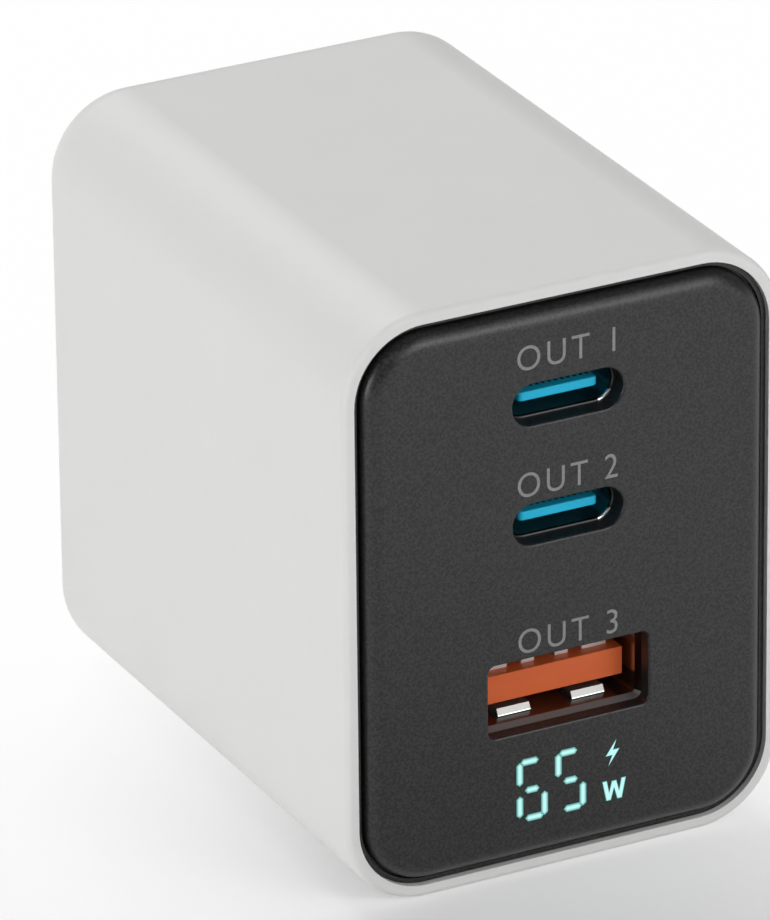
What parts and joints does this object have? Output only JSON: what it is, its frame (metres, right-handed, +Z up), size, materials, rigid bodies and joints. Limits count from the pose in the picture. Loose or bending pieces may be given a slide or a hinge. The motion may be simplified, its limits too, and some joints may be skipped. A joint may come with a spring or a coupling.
{
  "type": "travel charger",
  "caption": "Compact white wall charger with a black front panel of slim and wide ports, a lit readout and a folding plug.",
  "frame": {"origin": "on the bottom face, in the middle of the overall width and depth", "axes": "+Z up, the front panel faces -Y, +X to the right seen from the front"},
  "size_m": [0.035, 0.0496, 0.0456],
  "materials": {
    "case_white": "satin",
    "plug_white": "satin",
    "panel_black": "fine matte grain",
    "port_blue": "smooth",
    "port_orange": "smooth",
    "shell_steel": "satin",
    "contact_gold": "polished",
    "contact_silver": "polished",
    "readout_body": "matte",
    "readout_light": "lit",
    "pin_tin": "satin",
    "board_green": "satin",
    "ferrite": "matte",
    "winding_tape": "satin",
    "moulding_black": "matte",
    "can_metal": "satin",
    "film_box": "smooth",
    "copper_wire": "smooth",
    "fuse_ceramic": "smooth",
    "pad_grey": "matte",
    "spreader_aluminium": "satin",
    "blade_metal": "polished",
    "spring_brass": "satin"
  },
  "bodies": {
    "housing": {"board_link_pins": "pin_tin", "bridge_rectifier": "moulding_black", "bulk_capacitors": "can_metal", "choke_core": "ferrite", "choke_windings": "copper_wire", "contact_spring_left": "spring_brass", "contact_spring_right": "spring_brass", "display_light_bars": "readout_light", "display_module": "readout_body", "display_pins": "pin_tin", "film_capacitor": "film_box", "frame_screws": "shell_steel", "front_panel": "panel_black", "fuse": "fuse_ceramic", "heat_spreader": "spreader_aluminium", "main_board": "board_green", "main_case": "case_white", "output_capacitors": "can_metal", "plug_frame": "plug_white", "port_board": "board_green", "power_switches": "moulding_black", "slim_port_1_contacts": "contact_gold", "slim_port_1_insulator": "port_blue", "slim_port_1_shell": "shell_steel", "slim_port_2_contacts": "contact_gold", "slim_port_2_insulator": "port_blue", "slim_port_2_shell": "shell_steel", "thermal_pad": "pad_grey", "transformer_base": "moulding_black", "transformer_core": "ferrite", "transformer_winding": "winding_tape", "wide_port_contacts": "contact_silver", "wide_port_insulator": "port_orange", "wide_port_shell": "shell_steel"},
    "plug": {"plug_carrier": "plug_white", "plug_blade_left": "blade_metal", "plug_blade_right": "blade_metal"}
  },
  "joints": [
    {"name": "plug_fold", "type": "hinge", "parent": "housing", "child": "plug", "pos_m": [0, 0.0194, 0.0312], "axis": [1, 0, 0], "range_deg": [0, 90]}
  ]
}
